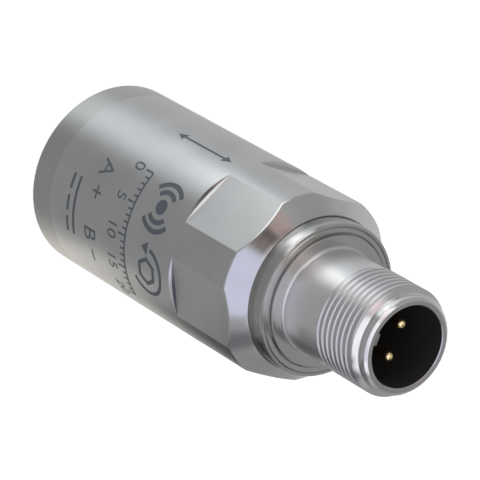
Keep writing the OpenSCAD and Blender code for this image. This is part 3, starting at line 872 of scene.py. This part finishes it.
class Look:
    """A node material under construction, with short calls for the nodes it needs."""

    def __init__(self, name):
        self.material = bpy.data.materials.new(name)
        self.material.use_nodes = True
        self.tree = self.material.node_tree
        self.shader = self.tree.nodes["Principled BSDF"]

    def node(self, kind, inputs, **settings):
        return add_node(self.tree, kind, inputs, **settings)

    def math(self, operation, *values):
        return math_node(self.tree, operation, *values)

    def set(self, **sockets):
        """Sets the shader's sockets, named with _ for each space."""
        inputs = {key.replace("_", " "): value for key, value in sockets.items()}
        feed(self.tree, self.shader, inputs)

    def place(self):
        """Places in the object's own frame, in metres."""
        return self.node("ShaderNodeTexCoord", {}).outputs["Object"]

    def place_parts(self):
        return self.node("ShaderNodeSeparateXYZ", {0: self.place()}).outputs

    def noise(self, vector, scale, detail=FINE_DETAIL):
        inputs = {"Vector": vector, "Scale": scale, "Detail": detail}
        return self.node("ShaderNodeTexNoise", inputs).outputs["Fac"]

    def mottle(self, value, colour, factors):
        """Colours the surface between two shades by a noise value."""
        node = self.node("ShaderNodeValToRGB", {"Fac": value})
        for end, position, factor in zip(node.color_ramp.elements, COLOUR_SPAN, factors):
            end.position = position
            end.color = (*shade(colour, factor), 1)
        self.set(Base_Color=node.outputs["Color"])

    def vary(self, cloud, grain, colour, roughness, variation):
        """Clouds the colour by one noise value; roughens and bumps the surface by another."""
        self.mottle(cloud, colour, variation.colour)
        low, high = (roughness * factor for factor in variation.roughness)
        self.set(Roughness=smooth_map(self.tree, grain, *ROUGHNESS_SPAN, low, high))
        inputs = {"Strength": variation.bump, "Distance": variation.depth * MM, "Height": grain}
        self.set(Normal=self.node("ShaderNodeBump", inputs).outputs["Normal"])

    def turning(self, pitch):
        """Coordinates in which one unit is a turning mark, on walls and end faces alike."""
        x, y, z = self.place_parts()
        square = self.math("ADD", self.math("MULTIPLY", x, x), self.math("MULTIPLY", y, y))
        marks = 1 / (pitch * MM)
        drift = 1 / (MARK_DRIFT * MM)
        inputs = {
            0: self.math("MULTIPLY", self.math("SQRT", square), marks),
            1: self.math("MULTIPLY", z, marks),
            2: self.math("MULTIPLY", self.math("ADD", x, y), drift),
        }
        return self.node("ShaderNodeCombineXYZ", inputs).outputs[0]


STEEL = (0.60, 0.60, 0.60)
SATIN_STEEL = (0.51, 0.51, 0.51)
BRIGHT_STEEL = (0.67, 0.67, 0.67)
BASE_STEEL = (0.463, 0.464, 0.451)
FLAT_STEEL = (0.54, 0.54, 0.54)
COLLAR_STEEL = (0.44, 0.435, 0.425)
COLLAR_TOP_STEEL = (0.57, 0.56, 0.545)
FLANGE_STEEL = (0.51, 0.50, 0.485)
FLANGE_FACE_STEEL = (0.595, 0.58, 0.56)
THREAD_STEEL = (0.56, 0.56, 0.57)
# The key's steel is darker than the shell's: painted shade of the bore it stands in.
KEY_PAINTED_SHADE_STEEL = (0.36, 0.36, 0.36)
# The socket's steel wall is drawn near black: painted shade deep in the bore.
SOCKET_PAINTED_SHADE = (0.03, 0.028, 0.026)
INSERT_BLACK = (0.02, 0.02, 0.021)
GILT = (1.0, 0.78, 0.42)
INK = (0.085, 0.105, 0.118)


def turned_steel(name, roughness, anisotropy, tint=STEEL, mark_pitch=WALL_MARKS):
    """Turned stainless steel with fine marks round the axis and a cloudy colour."""
    look = Look(name)
    marks = look.noise(look.turning(mark_pitch), 1.0)
    cloud = look.noise(look.place(), TURNED_CLOUD)
    look.vary(cloud, marks, tint, roughness, TURNED)
    tangent = look.node("ShaderNodeTangent", {}, direction_type="RADIAL", axis="Z")
    look.set(Tangent=tangent.outputs[0], Metallic=1.0)
    look.set(Anisotropic=anisotropy, Anisotropic_Rotation=ANISOTROPY_TURN)
    return look.material


def milled_steel(name, roughness, tint=STEEL):
    """Milled stainless steel: satin, with a fine even grain."""
    look = Look(name)
    grain = look.noise(look.place(), MILLED_GRAIN)
    cloud = look.noise(look.place(), MILLED_CLOUD, SOFT_DETAIL)
    look.vary(cloud, grain, tint, roughness, MILLED)
    look.set(Metallic=1.0)
    return look.material


def plain_finish(name, colour, roughness, metallic=0.0, variation=MOULDED):
    """A moulded, plated or fired finish, or a painted shade, with a slight mottling and grain."""
    look = Look(name)
    texture = look.noise(look.place(), 1 / (MOULDED_GRAIN * MM))
    look.vary(texture, texture, colour, roughness, variation)
    look.set(Metallic=metallic)
    return look.material


# Colour, roughness and metallic share of the solids that stay inside the case, by material slot
INNER_LOOKS = {
    "retainer_steel": ((0.50, 0.50, 0.50), 0.35, 1.0),
    "white_ceramic": ((0.82, 0.80, 0.75), 0.45, 0.0),
    "piezo_ceramic": ((0.55, 0.47, 0.36), 0.55, 0.0),
    "electrode_brass": ((0.78, 0.60, 0.28), 0.30, 1.0),
    "mass_metal": ((0.42, 0.41, 0.40), 0.38, 1.0),
    "sleeve_plastic": ((0.75, 0.72, 0.64), 0.50, 0.0),
    "screw_steel": ((0.48, 0.48, 0.49), 0.32, 1.0),
    "shield_metal": ((0.62, 0.61, 0.58), 0.36, 1.0),
    "grommet_rubber": ((0.05, 0.05, 0.05), 0.70, 0.0),
    "lead_white": ((0.80, 0.80, 0.78), 0.45, 0.0),
    "lead_red": ((0.55, 0.04, 0.03), 0.45, 0.0),
    "lead_black": ((0.03, 0.03, 0.03), 0.45, 0.0),
    "ring_plastic": ((0.80, 0.80, 0.78), 0.50, 0.0),
    "board_green": ((0.03, 0.16, 0.06), 0.40, 0.0),
    "chip_black": ((0.025, 0.025, 0.028), 0.45, 0.0),
    "capacitor_tan": ((0.50, 0.36, 0.20), 0.45, 0.0),
    "capacitor_orange": ((0.70, 0.28, 0.05), 0.45, 0.0),
    "spacer_plastic": ((0.70, 0.68, 0.60), 0.50, 0.0),
}
REPLACED_NODES = {
    "case",
    "base",
    "connector_shell",
    "connector_insert",
    "contact_pin_a",
    "contact_pin_b",
}


def dress_inner_nodes():
    """Gives each solid that stays inside the case the finish of its material slot."""
    slots = {part["node"]: part["material_slot"] for part in frame["record"]["subparts"]}
    finishes = {slot: plain_finish(slot, *values) for slot, values in INNER_LOOKS.items()}
    for name, node in frame["nodes"].items():
        if name in REPLACED_NODES:
            continue
        node.data.materials.clear()
        node.data.materials.append(finishes[slots[name]])


# Camera and floor

def make_camera():
    """The camera, aimed from its azimuth and elevation and then rolled."""
    elevation = math.radians(CAMERA_ELEVATION)
    back = polar(math.cos(elevation), math.sin(elevation), math.radians(CAMERA_AZIMUTH))
    roll = Quaternion((0, 0, 1), math.radians(CAMERA_ROLL))
    turn = (-back).to_track_quat("-Z", "Y") @ roll
    data = bpy.data.cameras.new("camera")
    data.lens = CAMERA_LENS
    data.sensor_width = CAMERA_SENSOR
    data.clip_start, data.clip_end = CAMERA_CLIP_M
    camera = add_object("camera", data)
    place = (CAMERA_AIM + back * CAMERA_DISTANCE) * MM
    camera.matrix_world = Matrix.LocRotScale(place, turn, None)
    bpy.context.scene.camera = camera


def add_stage_piece(mesh, look, camera, glossy):
    """Puts a mesh on the stage, where only the camera or only reflections see it."""
    mesh.materials.append(look.material)
    piece = add_object(mesh.name, mesh)
    piece.visible_camera = camera
    piece.visible_glossy = glossy
    piece.visible_diffuse = False
    piece.visible_transmission = False
    piece.visible_shadow = False
    return piece


WHITE = (1, 1, 1, 1)
BLACK = (0, 0, 0, 1)
FLOOR_GLOW = 0.72
FLOOR_COLOUR = (0.62, 0.62, 0.62)
FLOOR_MOTTLE = (0.99, 1.01)
FLOOR_RADIUS_M = 2.4
FLOOR_CORNERS = 128
BACKDROP_RADIUS_M = 3.0
BACKDROP_COLUMNS = 64
BACKDROP_RINGS = 32


def make_floor():
    """A pale floor that shows a faint contact shadow, inside a pale dome."""
    floor = bmesh.new()
    bmesh.ops.create_circle(floor, cap_ends=True, segments=FLOOR_CORNERS, radius=FLOOR_RADIUS_M)
    look = Look("floor_paper")
    look.mottle(look.noise(look.place(), PAPER_FIBRES), FLOOR_COLOUR, FLOOR_MOTTLE)
    look.set(Roughness=1.0, Specular_IOR_Level=0.0)
    look.set(Emission_Color=WHITE, Emission_Strength=FLOOR_GLOW)
    add_stage_piece(to_mesh(floor, "floor"), look, camera=True, glossy=False)

    dome = bmesh.new()
    bmesh.ops.create_uvsphere(dome, u_segments=BACKDROP_COLUMNS, v_segments=BACKDROP_RINGS,
                              radius=BACKDROP_RADIUS_M)
    look = Look("backdrop_paper")
    look.set(Base_Color=BLACK, Roughness=1.0, Specular_IOR_Level=0.0)
    look.set(Emission_Color=WHITE, Emission_Strength=1.0)
    add_stage_piece(to_mesh(dome, "backdrop"), look, camera=True, glossy=False)


# Light

class Card(NamedTuple):
    """A card on the floor that shows in reflections.

    The pairs are counted along the floor, towards the camera and to its right.
    """

    name: str
    middle: tuple
    half: tuple
    soft: tuple
    light: tuple


CARD_DROP = 0.3
CARD_CORNERS = ((-1, -1), (1, -1), (1, 1), (-1, 1))
FLOOR_CARDS = [
    Card("white_card", middle=(-26.5, 22), half=(33.5, 13), soft=(5, 3.5),
         light=(0.98, 0.95, 0.88)),
    Card("dark_card", middle=(-26, 57), half=(18, 22.5), soft=(5, 3), light=(0.07, 0.07, 0.08)),
    Card("grey_card", middle=(4, 70), half=(14, 12), soft=(6, 4), light=(0.09, 0.09, 0.10)),
    Card("key_card", middle=(42, -49), half=(14, 13), soft=(9, 8), light=(2.3, 2.33, 2.33)),
    Card("near_card", middle=(61, -39), half=(8, 7), soft=(6, 6), light=(1.7, 1.72, 1.72)),
    Card("far_card", middle=(8, -71), half=(12, 9), soft=(8, 6), light=(0.92, 0.93, 0.94)),
]


def make_card(card):
    """A card with soft edges; it lights or darkens the reflections low on the object."""
    bm = bmesh.new()
    reach = [(half + soft) * MM for half, soft in zip(card.half, card.soft)]
    bm.faces.new([bm.verts.new((x * reach[0], y * reach[1], 0)) for x, y in CARD_CORNERS])
    look = Look(card.name)
    covers = []
    for output, half, soft in zip(look.place_parts(), card.half, card.soft):
        aside = look.math("ABSOLUTE", output)
        start, end = (half - soft) * MM, (half + soft) * MM
        covers.append(smooth_map(look.tree, aside, start, end, low=1.0, high=0.0))
    look.set(Alpha=look.math("MULTIPLY", *covers), Base_Color=BLACK, Specular_IOR_Level=0.0)
    look.set(Emission_Color=(*card.light, 1), Emission_Strength=1.0)
    piece = add_stage_piece(to_mesh(bm, card.name), look, camera=False, glossy=True)
    turn = Matrix.Rotation(math.radians(CAMERA_AZIMUTH), 4, "Z")
    piece.matrix_world = turn @ Matrix.Translation(Vector((*card.middle, -CARD_DROP)) * MM)


class Panel(NamedTuple):
    """A light panel far from the object, with its azimuth counted from the camera's."""

    around: float
    half: float
    low: float
    high: float
    soft: float
    light: tuple


# Panels of the studio, each laid over the ones before it
STUDIO_BASE = (0.40, 0.40, 0.405)
STUDIO_PANELS = [
    Panel(around=-140, half=52, low=-120, high=10, soft=18, light=(0.67, 0.68, 0.69)),
    Panel(around=175, half=14, low=-120, high=-4, soft=5, light=(0.58, 0.58, 0.58)),
    Panel(around=20, half=68, low=-12, high=16, soft=8, light=(0.45, 0.45, 0.46)),
    Panel(around=118, half=22, low=-12, high=14, soft=7, light=(0.38, 0.37, 0.37)),
    Panel(around=98, half=18, low=-18, high=0, soft=5, light=(0.14, 0.14, 0.15)),
    Panel(around=112, half=14, low=-38, high=-14, soft=5, light=(0.08, 0.08, 0.09)),
    Panel(around=97, half=9, low=12, high=30, soft=6, light=(0.19, 0.19, 0.21)),
    Panel(around=120, half=12, low=18, high=36, soft=4, light=(0.52, 0.52, 0.54)),
    Panel(around=-97, half=18, low=-15, high=14, soft=7, light=(0.62, 0.62, 0.63)),
    Panel(around=-95, half=45, low=14, high=56, soft=8, light=(0.43, 0.43, 0.43)),
    Panel(around=-61, half=25, low=-78, high=-34, soft=17, light=(1.06, 1.13, 1.17)),
    Panel(around=-46, half=20, low=-30, high=25, soft=9, light=(1.60, 1.62, 1.64)),
    Panel(around=-90, half=45, low=62, high=90, soft=8, light=(1.20, 1.20, 1.22)),
    Panel(around=35, half=58, low=46, high=80, soft=5, light=(1.38, 1.38, 1.40)),
    Panel(around=-48, half=20, low=52, high=70, soft=5, light=(1.0, 0.78, 0.81)),
    Panel(around=126, half=30, low=50, high=66, soft=6, light=(0.07, 0.07, 0.10)),
    Panel(around=137, half=27, low=37, high=52, soft=5, light=(0.08, 0.08, 0.10)),
    Panel(around=92, half=15, low=32.5, high=51, soft=3.5, light=(1.32, 1.34, 1.44)),
    Panel(around=33, half=39, low=22, high=55, soft=5, light=(0.88, 0.90, 1.11)),
    Panel(around=-46, half=26, low=48, high=53.5, soft=2.5, light=(2.3, 2.2, 2.15)),
    Panel(around=-48, half=12, low=26, high=44, soft=5, light=(0.66, 0.51, 0.47)),
    Panel(around=-24, half=14, low=25, high=46, soft=3.5, light=(0.15, 0.11, 0.10)),
    Panel(around=-35, half=7, low=39.5, high=45, soft=2, light=(0.05, 0.045, 0.045)),
    Panel(around=-53, half=9, low=39.5, high=44, soft=2, light=(0.06, 0.055, 0.055)),
]


def make_world():
    """Soft studio light from plain panels round the object."""
    world = bpy.data.worlds.new("studio")
    bpy.context.scene.world = world
    world.use_nodes = True
    tree = world.node_tree
    place = add_node(tree, "ShaderNodeTexCoord", {}).outputs["Generated"]
    x, y, z = add_node(tree, "ShaderNodeSeparateXYZ", {0: place}).outputs
    azimuth = math_node(tree, "DEGREES", math_node(tree, "ARCTAN2", y, x))
    elevation = math_node(tree, "DEGREES", math_node(tree, "ARCSINE", z))
    colour = (*STUDIO_BASE, 1)
    for panel in STUDIO_PANELS:
        turn = math_node(tree, "SUBTRACT", azimuth, panel.around + CAMERA_AZIMUTH)
        aside = math_node(tree, "ABSOLUTE", math_node(tree, "WRAP", turn, 180.0, -180.0))
        across = smooth_map(tree, aside, panel.half + panel.soft, panel.half - panel.soft)
        above = smooth_map(tree, elevation, panel.low - panel.soft, panel.low + panel.soft)
        below = smooth_map(tree, elevation, panel.high + panel.soft, panel.high - panel.soft)
        mask = math_node(tree, "MULTIPLY", math_node(tree, "MULTIPLY", across, above), below)
        inputs = {0: mask, 6: colour, 7: (*panel.light, 1)}
        colour = add_node(tree, "ShaderNodeMix", inputs, data_type="RGBA").outputs[2]
    feed(tree, tree.nodes["Background"], {"Color": colour})


# The scene

make_case([
    turned_steel("body_steel", roughness=0.32, anisotropy=0.6, tint=SATIN_STEEL),
    milled_steel("flat_steel", roughness=0.34, tint=FLAT_STEEL),
    milled_steel("step_steel", roughness=0.14),
    turned_steel("slope_steel", roughness=0.16, anisotropy=0.3),
    turned_steel("collar_steel", roughness=0.14, anisotropy=0.3, tint=COLLAR_STEEL),
    turned_steel("collar_top_steel", roughness=0.2, anisotropy=0.5, tint=COLLAR_TOP_STEEL,
                 mark_pitch=FACE_MARKS),
])
make_base([
    turned_steel("base_steel", roughness=0.32, anisotropy=0.6, tint=BASE_STEEL),
    turned_steel("stud_thread_steel", roughness=0.3, anisotropy=0.3),
])
make_shell([
    turned_steel("flange_steel", roughness=0.3, anisotropy=0.6, tint=FLANGE_STEEL),
    turned_steel("flange_face_steel", roughness=0.2, anisotropy=0.5, tint=FLANGE_FACE_STEEL,
                 mark_pitch=FACE_MARKS),
    turned_steel("neck_steel", roughness=0.36, anisotropy=0.5, tint=BRIGHT_STEEL),
    turned_steel("thread_steel", roughness=0.35, anisotropy=0.3, tint=THREAD_STEEL),
    turned_steel("nose_steel", roughness=0.18, anisotropy=0.3, tint=BRIGHT_STEEL),
    turned_steel("front_face_steel", roughness=0.24, anisotropy=0.4, tint=SATIN_STEEL),
    # Painted shade: the socket's steel wall is drawn near black for the shade inside the bore.
    plain_finish("socket_shadow", SOCKET_PAINTED_SHADE, roughness=0.45),
])
# Painted shade: the key is drawn in darker steel than the shell, for the shade inside the socket.
make_key([milled_steel("key_painted_shade_steel", roughness=0.3, tint=KEY_PAINTED_SHADE_STEEL)])
make_insert([plain_finish("insert_resin", INSERT_BLACK, roughness=0.5)])
gilt = plain_finish("contact_gilt", GILT, roughness=0.22, metallic=1.0, variation=PLATED)
make_pin(-1, "a", [gilt])
make_pin(1, "b", [gilt])
ink = plain_finish("mark_ink", INK, roughness=0.5)
make_front_marks([ink])
make_axis_arrow([ink])
dress_inner_nodes()

make_floor()
for floor_card in FLOOR_CARDS:
    make_card(floor_card)
make_world()
make_camera()
bpy.context.scene.view_settings.view_transform = "Standard"
